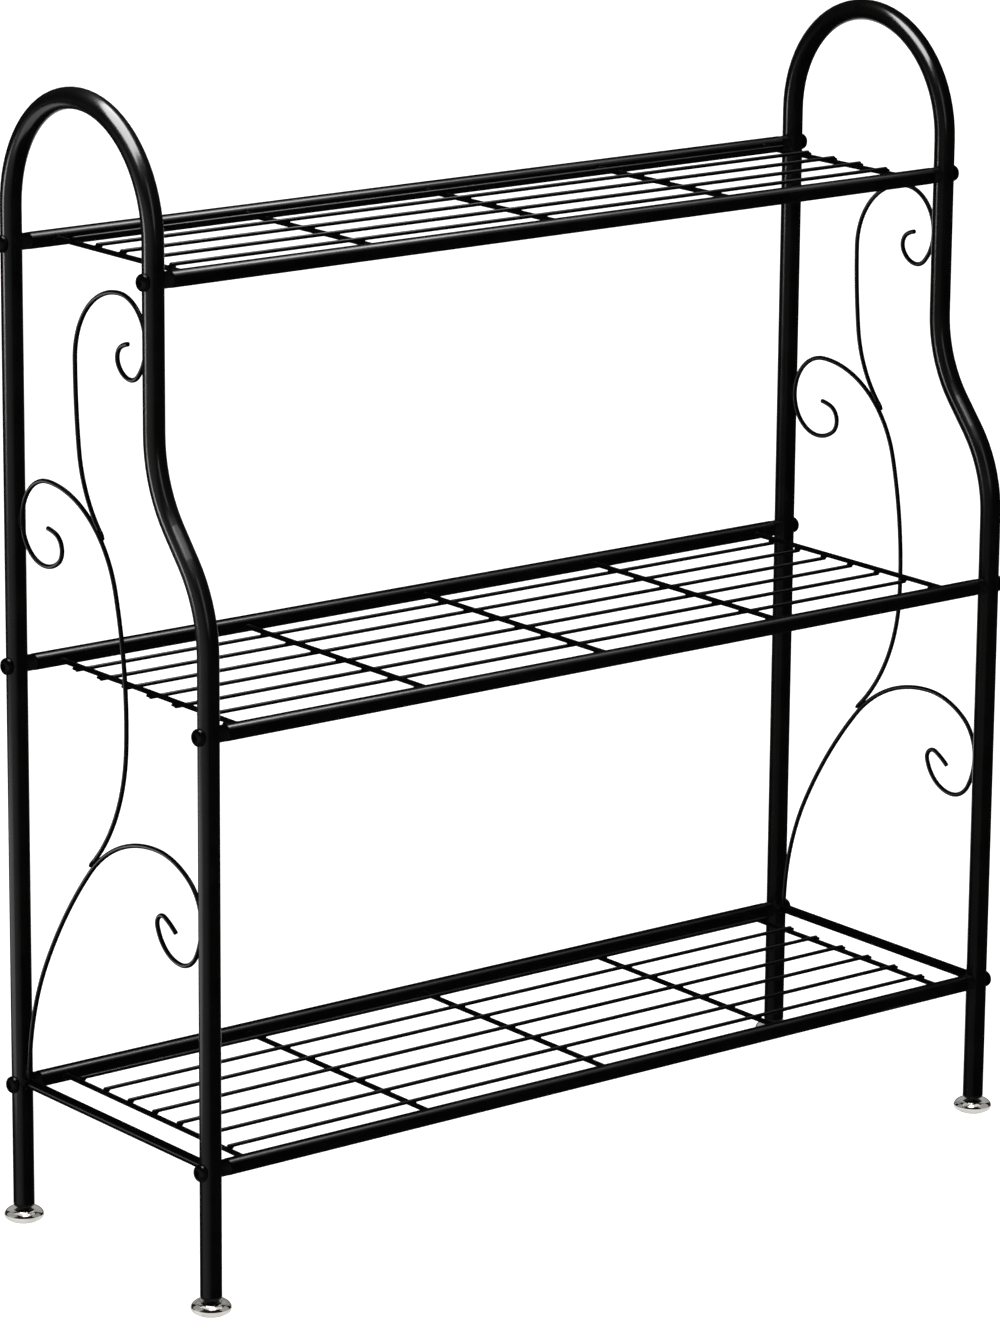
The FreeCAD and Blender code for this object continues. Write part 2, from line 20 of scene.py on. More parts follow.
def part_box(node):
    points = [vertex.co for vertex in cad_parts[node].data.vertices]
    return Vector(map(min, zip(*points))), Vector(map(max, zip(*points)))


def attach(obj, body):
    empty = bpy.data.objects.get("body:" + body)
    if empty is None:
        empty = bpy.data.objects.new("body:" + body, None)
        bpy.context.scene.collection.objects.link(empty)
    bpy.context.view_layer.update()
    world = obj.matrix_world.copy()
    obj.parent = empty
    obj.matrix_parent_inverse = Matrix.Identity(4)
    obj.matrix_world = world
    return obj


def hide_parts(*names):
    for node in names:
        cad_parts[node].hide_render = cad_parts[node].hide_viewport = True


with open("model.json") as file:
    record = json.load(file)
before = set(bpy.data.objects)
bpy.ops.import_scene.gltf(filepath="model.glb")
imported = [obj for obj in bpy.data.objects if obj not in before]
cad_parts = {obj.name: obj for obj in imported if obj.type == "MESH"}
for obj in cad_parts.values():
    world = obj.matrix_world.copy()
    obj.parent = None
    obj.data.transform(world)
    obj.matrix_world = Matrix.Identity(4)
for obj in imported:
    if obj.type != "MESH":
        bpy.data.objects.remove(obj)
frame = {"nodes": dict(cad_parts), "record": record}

LOG = logging.getLogger("plant_stand")
STAND_BODY = "stand"
FULL_TURN = 2 * math.pi
UNIT_RADIUS = 0.5

Colour = tuple[float, float, float]
Place = tuple[float, float, float]


class Slot(Enum):
    """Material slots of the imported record."""

    FRAME_COAT = "frame_coat"
    WIRE_COAT = "wire_coat"
    BOLT_BLACK = "bolt_black"
    SPACER_PLASTIC = "spacer_plastic"
    INSERT_STEEL = "insert_steel"
    PLUG_PLASTIC = "plug_plastic"
    STEM_STEEL = "stem_steel"
    FOOT_CHROME = "foot_chrome"
    PAD_PLASTIC = "pad_plastic"


class Side(Enum):
    """The two side frames."""

    LEFT = "left"
    RIGHT = "right"


class Row(Enum):
    """The two rows of legs."""

    FRONT = "front"
    BACK = "back"


class Tier(Enum):
    """The three shelves."""

    TOP = "top"
    MIDDLE = "middle"
    BOTTOM = "bottom"


class Lit(Enum):
    """What a studio light is for."""

    STAND = "lit_stand"
    TUBES = "lit_tubes"
    LEFT_TUBE = "lit_left_tube"
    RIGHT_TUBE = "lit_right_tube"
    BARS = "lit_bars"
    SCROLLS = "lit_scrolls"
    SHELVES = "lit_shelves"
    FEET = "lit_feet"
    FLOOR = "lit_floor"


class ShaderSheet:
    """A material with one Principled shader, to which patterns are added node by node."""

    ROUGHNESS_BAND = (0.3, 0.7)
    COLOUR_BAND = (0.35, 0.65)

    def __init__(self, name: str) -> None:
        """Makes the empty material.

        Args:
            name: Name of the material.
        """
        self.material = bpy.data.materials.new(name)
        self.material.use_nodes = True
        self.tree = self.material.node_tree
        self.shader = self.tree.nodes["Principled BSDF"]
        self.place = self.add("ShaderNodeTexCoord").outputs["Object"]

    def add(self, kind: str) -> bpy.types.ShaderNode:
        """Adds a node.

        Args:
            kind: Blender's name for the type of node.

        Returns:
            The new node.
        """
        return self.tree.nodes.new(kind)

    def set(self, **values: Any) -> None:
        """Sets constant values on the shader's own sockets.

        Args:
            values: Values by socket name, with underscores for spaces.
        """
        for name, value in values.items():
            self.shader.inputs[name.replace("_", " ")].default_value = value

    def stretched(self, stretch: Place) -> bpy.types.NodeSocket:
        """Stretches the pattern coordinates.

        Args:
            stretch: Factors along X, Y and Z.

        Returns:
            The stretched coordinates.
        """
        mapping = self.add("ShaderNodeMapping")
        mapping.inputs["Scale"].default_value = stretch
        self.tree.links.new(self.place, mapping.inputs["Vector"])
        return mapping.outputs["Vector"]

    def noise(self, scale: float, detail: float = 2.0,
              place: bpy.types.NodeSocket | None = None) -> bpy.types.NodeSocket:
        """Adds a cloudy pattern.

        Args:
            scale: Clouds in a metre.
            detail: Octaves of finer clouds.
            place: Coordinates to read instead of the plain ones.

        Returns:
            The pattern, from 0 to 1.
        """
        node = self.add("ShaderNodeTexNoise")
        node.inputs["Scale"].default_value = scale
        node.inputs["Detail"].default_value = detail
        self.tree.links.new(place or self.place, node.inputs["Vector"])
        return node.outputs["Fac"]

    def vary_roughness(self, pattern: bpy.types.NodeSocket, low: float, high: float) -> None:
        """Lets the roughness follow a pattern.

        Args:
            pattern: Pattern from 0 to 1.
            low: Roughness in its hollows.
            high: Roughness on its crests.
        """
        spread = self.add("ShaderNodeMapRange")
        band_low, band_high = self.ROUGHNESS_BAND
        spread.inputs["From Min"].default_value = band_low
        spread.inputs["From Max"].default_value = band_high
        spread.inputs["To Min"].default_value = low
        spread.inputs["To Max"].default_value = high
        self.tree.links.new(pattern, spread.inputs["Value"])
        self.tree.links.new(spread.outputs["Result"], self.shader.inputs["Roughness"])

    def vary_colour(self, pattern: bpy.types.NodeSocket, first: Colour, second: Colour) -> None:
        """Lets the colour follow a pattern.

        Args:
            pattern: Pattern from 0 to 1.
            first: Colour in its hollows.
            second: Colour on its crests.
        """
        ramp = self.add("ShaderNodeValToRGB")
        low, high = ramp.color_ramp.elements
        low.position, high.position = self.COLOUR_BAND
        low.color = (*first, 1.0)
        high.color = (*second, 1.0)
        self.tree.links.new(pattern, ramp.inputs["Fac"])
        self.tree.links.new(ramp.outputs["Color"], self.shader.inputs["Base Color"])

    def emboss(self, pattern: bpy.types.NodeSocket, depth: float) -> None:
        """Raises the surface by a pattern, over any relief that it already has.

        Args:
            pattern: Pattern from 0 to 1.
            depth: Height of the relief in metres.
        """
        bump = self.add("ShaderNodeBump")
        bump.inputs["Strength"].default_value = 1.0
        bump.inputs["Distance"].default_value = depth
        normal = self.shader.inputs["Normal"]
        if normal.is_linked:
            self.tree.links.new(normal.links[0].from_socket, bump.inputs["Normal"])
        self.tree.links.new(pattern, bump.inputs["Height"])
        self.tree.links.new(bump.outputs["Normal"], normal)


@dataclass(frozen=True)
class Finish(ABC):
    """A surface finish that any number of pieces can take."""

    name: str

    @abstractmethod
    def build(self) -> bpy.types.Material:
        """Makes the material."""


@dataclass(frozen=True)
class PowderCoat(Finish):
    """Baked powder paint: black, half gloss, with a faint orange peel."""

    colour: Colour
    thick_colour: Colour
    roughness: tuple[float, float]
    specular: float
    peel_scale: float = 420.0
    peel_depth: float = 0.000012
    cloud_scale: float = 14.0
    tone_scale: float = 42.0

    def build(self) -> bpy.types.Material:
        """Makes the material."""
        sheet = ShaderSheet(self.name)
        sheet.set(Specular_IOR_Level=self.specular)
        sheet.vary_colour(sheet.noise(self.tone_scale), self.colour, self.thick_colour)
        sheet.vary_roughness(sheet.noise(self.cloud_scale), *self.roughness)
        sheet.emboss(sheet.noise(self.peel_scale), self.peel_depth)
        return sheet.material


@dataclass(frozen=True)
class BrightPlate(Finish):
    """Polished plating with fine turned lines and a few smudges."""

    colour: Colour
    worn_colour: Colour
    roughness: tuple[float, float]
    line_stretch: Place = (40.0, 40.0, 2600.0)
    line_depth: float = 0.000002
    line_detail: float = 1.0
    smudge_scale: float = 160.0
    smudge_detail: float = 4.0

    def build(self) -> bpy.types.Material:
        """Makes the material."""
        sheet = ShaderSheet(self.name)
        sheet.set(Metallic=1.0)
        smudges = sheet.noise(self.smudge_scale, self.smudge_detail)
        sheet.vary_colour(smudges, self.colour, self.worn_colour)
        sheet.vary_roughness(smudges, *self.roughness)
        lines = sheet.noise(1.0, self.line_detail, sheet.stretched(self.line_stretch))
        sheet.emboss(lines, self.line_depth)
        return sheet.material


@dataclass(frozen=True)
class ZincPlate(Finish):
    """Dull zinc plating with a cloudy passivated tint."""

    colour: Colour
    tint: Colour
    roughness: tuple[float, float]
    cloud_scale: float = 220.0
    cloud_detail: float = 3.0
    grain_scale: float = 2400.0
    grain_depth: float = 0.000006

    def build(self) -> bpy.types.Material:
        """Makes the material."""
        sheet = ShaderSheet(self.name)
        sheet.set(Metallic=1.0)
        clouds = sheet.noise(self.cloud_scale, self.cloud_detail)
        sheet.vary_colour(clouds, self.colour, self.tint)
        sheet.vary_roughness(clouds, *self.roughness)
        sheet.emboss(sheet.noise(self.grain_scale), self.grain_depth)
        return sheet.material


@dataclass(frozen=True)
class MouldedNylon(Finish):
    """Moulded plastic with a fine spark-eroded grain."""

    colour: Colour
    flow_colour: Colour
    roughness: tuple[float, float]
    specular: float = 0.35
    grain_scale: float = 1800.0
    grain_depth: float = 0.00002
    flow_scale: float = 90.0
    flow_detail: float = 3.0

    def build(self) -> bpy.types.Material:
        """Makes the material."""
        sheet = ShaderSheet(self.name)
        sheet.set(Specular_IOR_Level=self.specular)
        flow = sheet.noise(self.flow_scale, self.flow_detail)
        sheet.vary_colour(flow, self.colour, self.flow_colour)
        sheet.vary_roughness(flow, *self.roughness)
        sheet.emboss(sheet.noise(self.grain_scale), self.grain_depth)
        return sheet.material


@dataclass(frozen=True)
class PaleFloor(Finish):
    """Matt white studio floor that glows a little, so that shadows on it stay soft."""

    colour: Colour = (0.7, 0.7, 0.7)
    glow: float = 0.83

    def build(self) -> bpy.types.Material:
        """Makes the material."""
        sheet = ShaderSheet(self.name)
        sheet.set(Base_Color=(*self.colour, 1.0), Roughness=1.0, Specular_IOR_Level=0.0,
                  Emission_Color=(1.0, 1.0, 1.0, 1.0), Emission_Strength=self.glow)
        return sheet.material


FINISHES: dict[Slot, Finish] = {
    Slot.FRAME_COAT: PowderCoat("frame_powder_coat", (0.0004, 0.0004, 0.0004),
                                (0.0009, 0.0009, 0.00085), (0.17, 0.25), 0.4),
    Slot.WIRE_COAT: PowderCoat("wire_powder_coat", (0.0005, 0.0005, 0.0005),
                               (0.0011, 0.0011, 0.00105), (0.22, 0.34), 0.4, peel_scale=600.0),
    Slot.BOLT_BLACK: PowderCoat("bolt_black_oxide", (0.001, 0.001, 0.0011),
                                (0.0025, 0.0024, 0.0022), (0.18, 0.3), 0.5, peel_scale=1500.0),
    Slot.SPACER_PLASTIC: MouldedNylon("spacer_nylon", (0.0016, 0.0016, 0.0016),
                                      (0.003, 0.003, 0.003), (0.38, 0.5), 0.2),
    Slot.INSERT_STEEL: ZincPlate("insert_zinc", (0.55, 0.55, 0.56),
                                 (0.5, 0.48, 0.43), (0.3, 0.42)),
    Slot.PLUG_PLASTIC: MouldedNylon("plug_nylon", (0.0016, 0.0016, 0.0016),
                                    (0.003, 0.003, 0.003), (0.36, 0.48)),
    # Zinc plating on the stem, its colour darkened far below the insert's: painted shade of the
    # gap under the leg.
    Slot.STEM_STEEL: ZincPlate("stem_zinc_painted_shade", (0.13, 0.13, 0.135),
                               (0.11, 0.105, 0.1), (0.3, 0.42)),
    Slot.FOOT_CHROME: BrightPlate("foot_bright_plate", (0.74, 0.725, 0.68),
                                  (0.66, 0.64, 0.59), (0.05, 0.1)),
    Slot.PAD_PLASTIC: MouldedNylon("pad_nylon", (0.02, 0.02, 0.02),
                                   (0.03, 0.03, 0.03), (0.5, 0.62)),
}


class FinishRack:
    """Makes each finish once and hands it out by slot."""

    def __init__(self, finishes: dict[Slot, Finish]) -> None:
        """Makes the materials.

        Args:
            finishes: Finish of each slot of the record.
        """
        self._materials = {slot: finish.build() for slot, finish in finishes.items()}

    def material(self, slot: Slot) -> bpy.types.Material:
        """Gives the material of a slot."""
        return self._materials[slot]

    def dress_frame(self, nodes: dict[str, bpy.types.Object], record: dict[str, Any]) -> None:
        """Gives every CAD node the finish of its slot.

        Args:
            nodes: The frame's node objects by name.
            record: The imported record.
        """
        for subpart in record["subparts"]:
            slots = nodes[subpart["node"]].data.materials
            slots.clear()
            slots.append(self.material(Slot(subpart["material_slot"])))


def corners_of(edges: list[bmesh.types.BMEdge]) -> list[bmesh.types.BMVert]:
    """Gives the ends of edges, each once and always in the same order."""
    return list(dict.fromkeys(vert for edge in edges for vert in edge.verts))


class PieceMesh:
    """Collects closed shells in one mesh and makes a piece of them."""

    SHARP_ANGLE = math.radians(40)
    MERGE_DISTANCE = 1e-7

    def __init__(self, name: str) -> None:
        """Starts an empty mesh.

        Args:
            name: Name of the piece.
        """
        self.name = name
        self.shells = bmesh.new()

    def spun(self, edges: list[bmesh.types.BMEdge], centre: Vector,
             facets: int) -> list[bmesh.types.BMVert]:
        """Turns an outline once round an upright line.

        Args:
            edges: The outline.
            centre: A point on the line.
            facets: Facets in the turn.

        Returns:
            The vertices of the new shell.
        """
        corners = corners_of(edges)
        before = set(self.shells.verts) - set(corners)
        bmesh.ops.spin(self.shells, geom=edges + corners, cent=centre, axis=(0, 0, 1),
                       angle=FULL_TURN, steps=facets, use_merge=True)
        return [vert for vert in self.shells.verts if vert not in before]

    def run(self, corners: list[Place], closed: bool = False) -> list[bmesh.types.BMEdge]:
        """Joins corners by straight edges.

        Args:
            corners: The corners in order.
            closed: Whether the last corner joins the first.

        Returns:
            The new edges.
        """
        verts = [self.shells.verts.new(corner) for corner in corners]
        pairs = list(zip(verts, verts[1:]))
        if closed:
            pairs.append((verts[-1], verts[0]))
        return [self.shells.edges.new(pair) for pair in pairs]

    def finish(self, body: str, slot: Slot, rack: FinishRack) -> bpy.types.Object:
        """Turns the shells into an object that rides on a CAD body.

        Args:
            body: The CAD body.
            slot: Material slot of the record that the piece is finished in.
            rack: The finishes.

        Returns:
            The new object.
        """
        bmesh.ops.recalc_face_normals(self.shells, faces=self.shells.faces)
        data = bpy.data.meshes.new(self.name)
        self.shells.to_mesh(data)
        self.shells.free()
        data.shade_smooth()
        data.set_sharp_from_angle(angle=self.SHARP_ANGLE)
        data.materials.append(rack.material(slot))
        piece = bpy.data.objects.new(self.name, data)
        bpy.context.scene.collection.objects.link(piece)
        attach(piece, body)
        return piece


def middle_of(node: str) -> Vector:
    """Gives the middle of a CAD node's box."""
    low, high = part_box(node)
    return (low + high) / 2


@dataclass
class ScrewFoot:
    """One levelling foot, whose plain CAD stem is replaced by a threaded one."""

    side: Side
    row: Row
    pitch: float = 0.00125
    thread_depth: float = 0.00068
    stem_radius: float = 0.004
    spigot_radius: float = 0.003
    rivet_radius: float = 0.0048
    rivet_height: float = 0.0012
    spigot_height: float = 0.0054
    collar_height: float = 0.0006
    tip_chamfer: float = 0.001
    crest_share: float = 0.16
    root_share: float = 0.78
    root_sink: float = 1.3
    facets: int = 32

    @property
    def corner(self) -> str:
        """Name of the leg that the foot is under."""
        return f"{self.row.value}_{self.side.value}"

    def lit_nodes(self) -> dict[Lit, list[str]]:
        """Gives the CAD node that the foot lights are for: the bright disc."""
        return {Lit.FEET: [f"{self.corner}_foot_cap"]}

    def build(self, rack: FinishRack) -> bpy.types.Object:
        """Makes the threaded stem in place of the plain one.

        Args:
            rack: The finishes.

        Returns:
            The threaded stem.
        """
        node = f"{self.corner}_foot_stem"
        low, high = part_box(node)
        axis = (low + high) / 2
        mesh = PieceMesh(f"{self.corner}_threaded_stem")
        self._core(mesh, axis, low.z, high.z)
        self._ridge(mesh, axis, low.z, high.z)
        stem = mesh.finish(f"{self.corner}_stem", Slot.STEM_STEEL, rack)
        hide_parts(node)
        return stem

    def _seat(self, bottom: float) -> float:
        """Gives the height of the stem's shoulder on the disc."""
        return bottom + self.rivet_height + self.spigot_height

    def _core(self, mesh: PieceMesh, axis: Vector, bottom: float, top: float) -> None:
        """Turns rivet, spigot, collar and the core under the thread.

        Args:
            mesh: Mesh to add to.
            axis: A point on the stem's axis.
            bottom: Lowest height.
            top: Highest height.
        """
        neck = bottom + self.rivet_height
        seat = self._seat(bottom)
        collar = seat + self.collar_height
        root = self.stem_radius - self.thread_depth
        outline = [(0, bottom), (self.rivet_radius, bottom), (self.rivet_radius, neck),
                   (self.spigot_radius, neck), (self.spigot_radius, seat),
                   (self.stem_radius, seat), (self.stem_radius, collar), (root, collar),
                   (root, top - self.tip_chamfer), (root - self.tip_chamfer, top), (0, top)]
        edges = mesh.run([(axis.x + radius, axis.y, height) for radius, height in outline])
        made = mesh.spun(edges, axis, self.facets)
        bmesh.ops.remove_doubles(mesh.shells, verts=made, dist=mesh.MERGE_DISTANCE)

    def _ridge(self, mesh: PieceMesh, axis: Vector, bottom: float, top: float) -> None:
        """Winds the thread's ridge round the core.

        Args:
            mesh: Mesh to add to.
            axis: A point on the stem's axis.
            bottom: Lowest height of the stem.
            top: Highest height of the stem.
        """
        start = self._seat(bottom) + self.collar_height + self.pitch / 2
        turns = math.floor((top - self.tip_chamfer - start) / self.pitch - self.root_share / 2)
        root = axis.x + self.stem_radius - self.root_sink * self.thread_depth
        crest = axis.x + self.stem_radius
        root_half = self.root_share * self.pitch / 2
        crest_half = self.crest_share * self.pitch / 2
        outline = [(root, -root_half), (crest, -crest_half),
                   (crest, crest_half), (root, root_half)]
        edges = mesh.run([(x, axis.y, start + rise) for x, rise in outline], closed=True)
        made = bmesh.ops.spin(mesh.shells, geom=edges + corners_of(edges), cent=axis,
                              axis=(0, 0, 1), dvec=(0, 0, self.pitch / self.facets),
                              angle=FULL_TURN * turns, steps=self.facets * turns)
        last = [item for item in made["geom_last"] if isinstance(item, bmesh.types.BMEdge)]
        for rim in (edges, last):
            bmesh.ops.contextual_create(mesh.shells, geom=rim)


@dataclass(frozen=True)
class WeldSeam:
    """A rippled seam of weld metal in the crevice between two bars that touch."""

    centre: Vector
    along: Vector
    across: Vector
    length: float
    width: float
    height: float
    ripples: int = 5
    ripple_share: float = 0.07
    segments: int = 16
    rings: int = 24

    def add_to(self, mesh: PieceMesh) -> None:
        """Adds the seam to a mesh.

        Args:
            mesh: Mesh to add to.
        """
        along = self.along.normalized()
        across = self.across.normalized()
        turn = Matrix((across, along.cross(across), along)).transposed().to_4x4()
        made = bmesh.ops.create_uvsphere(mesh.shells, u_segments=self.segments,
                                         v_segments=self.rings, radius=UNIT_RADIUS)["verts"]
        for vert in made:
            ripple = math.cos(FULL_TURN * self.ripples * vert.co.z)
            swell = 1 + self.ripple_share * ripple
            vert.co.x *= swell
            vert.co.y *= swell
        size = Matrix.Diagonal((self.width, self.height, self.length, 1.0))
        place = Matrix.Translation(self.centre) @ turn @ size
        bmesh.ops.transform(mesh.shells, matrix=place, verts=made)


@dataclass(frozen=True)
class WeldFillet:
    """A hollow fillet of weld metal round a bar that butts against a tube."""

    crossing: Vector
    bar_axis: Vector
    tube_axis: Vector
    bar_radius: float
    tube_radius: float
    bar_offset: float
    leg_length: float
    facets: int = 24
    overlap: float = 0.0003
    hollow: float = 0.36
    reach_limit: float = 0.97

    def add_to(self, mesh: PieceMesh) -> None:
        """Adds the fillet to a mesh.

        Args:
            mesh: Mesh to add to.
        """
        inner = self.bar_radius - self.overlap
        outer = self.bar_radius + self.leg_length
        waist = self.bar_radius + self.hollow * self.leg_length
        rise = self.hollow * self.leg_length
        outline = [(inner, -self.overlap), (outer, -self.overlap), (waist, rise),
                   (inner, self.leg_length)]
        edges = mesh.run([(radius, 0, height) for radius, height in outline], closed=True)
        made = mesh.spun(edges, Vector(), self.facets)
        self._lay_on_tube(made)
        side = self.tube_axis.cross(self.bar_axis)
        turn = Matrix((self.tube_axis, side * -1, self.bar_axis)).transposed().to_4x4()
        place = Matrix.Translation(self.crossing) @ turn
        bmesh.ops.transform(mesh.shells, matrix=place, verts=made)

    def _lay_on_tube(self, verts: list[bmesh.types.BMVert]) -> None:
        """Pushes the fillet's foot onto the round of the tube.

        Args:
            verts: The fillet's vertices, with the bar along Z and the tube along X.
        """
        limit = self.reach_limit * self.tube_radius
        for vert in verts:
            aside = max(-limit, min(limit, vert.co.y + self.bar_offset))
            vert.co.y = aside - self.bar_offset
            vert.co.z += math.sqrt(self.tube_radius ** 2 - aside ** 2)


@dataclass(frozen=True)
class WeldSpot:
    """A small flash of weld metal where two thin wires cross."""

    centre: Vector
    size: Vector
    subdivisions: int = 2

    def add_to(self, mesh: PieceMesh) -> None:
        """Adds the spot to a mesh.

        Args:
            mesh: Mesh to add to.
        """
        place = Matrix.LocRotScale(self.centre, None, self.size)
        bmesh.ops.create_icosphere(mesh.shells, subdivisions=self.subdivisions,
                                   radius=UNIT_RADIUS, matrix=place)


@dataclass
class SideFrame:
    """One side frame: bent tube, cross bar and scrolls, with the welds that hold them."""

    side: Side
    upper_contact_height: float = 0.695
    middle_contact_height: float = 0.540
    lower_contact_height: float = 0.288
    upper_front_leg: float = -0.057
    upper_join: tuple[float, float] = (0.0109, 0.5491)
    upper_join_heading: float = 227.0
    middle_join: tuple[float, float] = (0.0248, 0.3012)
    middle_join_heading: float = -43.5
    leg_seam: Place = (0.016, 0.005, 0.0028)
    wire_seam: Place = (0.012, 0.004, 0.0034)
    bar_fillet: float = 0.0022
    scroll_places: tuple[str, ...] = ("upper", "middle", "lower")

    def build(self, rack: FinishRack) -> bpy.types.Object:
        """Makes the welds of the side frame.

        Args:
            rack: The finishes.

        Returns:
            The welds, as one piece.
        """
        mesh = PieceMesh(f"{self.side.value}_frame_welds")
        for seam in self._leg_seams() + self._wire_seams():
            seam.add_to(mesh)
        for fillet in self._bar_fillets():
            fillet.add_to(mesh)
        return mesh.finish(STAND_BODY, Slot.FRAME_COAT, rack)

    def lit_nodes(self) -> dict[Lit, list[str]]:
        """Gives the CAD nodes that the side lights are for: bent tube, cross bar and scrolls."""
        tube = [f"{self.side.value}_side_tube"]
        own = Lit.LEFT_TUBE if self.side is Side.LEFT else Lit.RIGHT_TUBE
        scrolls = [f"{self.side.value}_{place}_scroll" for place in self.scroll_places]
        return {Lit.TUBES: tube, own: tube, Lit.BARS: [f"{self.side.value}_cross_bar"],
                Lit.SCROLLS: scrolls}

    def _tube(self) -> tuple[Vector, Vector]:
        """Gives the box of the bent tube."""
        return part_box(f"{self.side.value}_side_tube")

    def _leg_seams(self) -> list[WeldSeam]:
        """Gives the seams where a scroll lies along a leg."""
        low, high = self._tube()
        plane = (low.x + high.x) / 2
        radius = (high.x - low.x) / 2
        bar = middle_of(f"{self.side.value}_cross_bar")
        places = ((self.upper_front_leg + radius, self.upper_contact_height),
                  (high.y - 2 * radius, self.middle_contact_height),
                  (low.y + 2 * radius, self.lower_contact_height),
                  (high.y - 2 * radius, bar.z + self.leg_seam[0] / 2))
        length, width, height = self.leg_seam
        return [WeldSeam(Vector((plane, y, z)), Vector((0, 0, 1)), Vector((1, 0, 0)),
                         length, width, height) for y, z in places]

    def _wire_seams(self) -> list[WeldSeam]:
        """Gives the seams where one scroll lies along another."""
        low, high = self._tube()
        plane = (low.x + high.x) / 2
        length, width, height = self.wire_seam
        seams = []
        for (y, z), heading in ((self.upper_join, self.upper_join_heading),
                                (self.middle_join, self.middle_join_heading)):
            angle = math.radians(heading)
            along = Vector((0, math.cos(angle), math.sin(angle)))
            seams.append(WeldSeam(Vector((plane, y, z)), along, Vector((1, 0, 0)),
                                  length, width, height))
        return seams

    def _bar_fillets(self) -> list[WeldFillet]:
        """Gives the fillets at both ends of the cross bar."""
        low, high = self._tube()
        radius = (high.x - low.x) / 2
        bar_low, bar_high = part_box(f"{self.side.value}_cross_bar")
        bar = (bar_low + bar_high) / 2
        bar_radius = (bar_high.z - bar_low.z) / 2
        ends = ((low.y + radius, 1.0), (high.y - radius, -1.0))
        return [WeldFillet(Vector((bar.x, y, bar.z)), Vector((0, inward, 0)), Vector((0, 0, 1)),
                           bar_radius, radius, 0.0, self.bar_fillet) for y, inward in ends]


@dataclass
class WireShelf:
    """One shelf of tubes and wires, with the welds that hold them."""

    tier: Tier
    long_wires: int
    cross_wires: int = 5
    wire_fillet: float = 0.0013
    spot_size: Place = (0.0044, 0.0034, 0.002)
    end_spot_size: Place = (0.0085, 0.004, 0.0034)

    def build(self, rack: FinishRack) -> bpy.types.Object:
        """Makes the welds of the shelf.

        Args:
            rack: The finishes.

        Returns:
            The welds, as one piece.
        """
        mesh = PieceMesh(f"{self.tier.value}_shelf_welds")
        nodes = self._cross_wire_nodes()
        for node in nodes:
            for fillet in self._tube_fillets(node):
                fillet.add_to(mesh)
            at_end = node in (nodes[0], nodes[-1])
            for spot in self._crossings(node, self.end_spot_size if at_end else self.spot_size):
                spot.add_to(mesh)
        return mesh.finish(STAND_BODY, Slot.WIRE_COAT, rack)

    def lit_nodes(self) -> dict[Lit, list[str]]:
        """Gives the CAD nodes that the shelf lights are for: its own tubes and wires."""
        tubes = [f"{self.tier.value}_{row.value}_tube" for row in Row]
        long_wires = f"{self.tier.value}_long_wires"
        return {Lit.SHELVES: [*tubes, *self._cross_wire_nodes(), long_wires]}

    def _cross_wire_nodes(self) -> list[str]:
        """Gives the names of the cross wires, from one end of the shelf to the other."""
        return [f"{self.tier.value}_cross_wire_{index + 1}" for index in range(self.cross_wires)]

    def _tube_fillets(self, node: str) -> list[WeldFillet]:
        """Gives the fillets where a cross wire meets both tubes.

        Args:
            node: Name of the cross wire.

        Returns:
            One fillet for each tube.
        """
        wire_low, wire_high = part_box(node)
        wire = (wire_low + wire_high) / 2
        wire_radius = (wire_high.x - wire_low.x) / 2
        tube_axis = Vector((1, 0, 0))
        fillets = []
        for row, inward in ((Row.FRONT, 1.0), (Row.BACK, -1.0)):
            tube_low, tube_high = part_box(f"{self.tier.value}_{row.value}_tube")
            tube = (tube_low + tube_high) / 2
            tube_radius = (tube_high.z - tube_low.z) / 2
            bar_axis = Vector((0, inward, 0))
            aside = tube_axis.cross(bar_axis) * -1
            fillets.append(WeldFillet(Vector((wire.x, tube.y, wire.z)), bar_axis, tube_axis,
                                      wire_radius, tube_radius, (wire.z - tube.z) * aside.z,
                                      self.wire_fillet))
        return fillets

    def _crossings(self, node: str, size: Place) -> list[WeldSpot]:
        """Gives the spots where the long wires cross a cross wire.

        Args:
            node: Name of the cross wire.
            size: Size of a spot.

        Returns:
            One spot for each long wire.
        """
        wire = middle_of(node)
        low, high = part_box(f"{self.tier.value}_long_wires")
        radius = (high.z - low.z) / 2
        level = (low.z + high.z) / 2
        contact = level - math.copysign(radius, level - wire.z)
        first = low.y + radius
        pitch = (high.y - low.y - 2 * radius) / (self.long_wires - 1)
        return [WeldSpot(Vector((wire.x, first + index * pitch, contact)), Vector(size))
                for index in range(self.long_wires)]


@dataclass(frozen=True)
class Softbox:
    """A rectangular studio light."""

    name: str
    place: Place
    aim: Place
    width: float
    height: float
    power: float
    lit: Lit = Lit.STAND

    def build(self, groups: dict[Lit, bpy.types.Collection]) -> None:
        """Hangs the light and turns it to its aim.

        Args:
            groups: The objects that each kind of light is for.
        """
        lamp = bpy.data.lights.new(self.name, "AREA")
        lamp.shape = "RECTANGLE"
        lamp.size = self.width
        lamp.size_y = self.height
        lamp.energy = self.power
        light = bpy.data.objects.new(self.name, lamp)
        light.location = self.place
        heading = Vector(self.aim) - Vector(self.place)
        light.rotation_euler = heading.to_track_quat("-Z", "Y").to_euler()
        light.visible_camera = False
        light.light_linking.receiver_collection = groups[self.lit]
        bpy.context.scene.collection.objects.link(light)


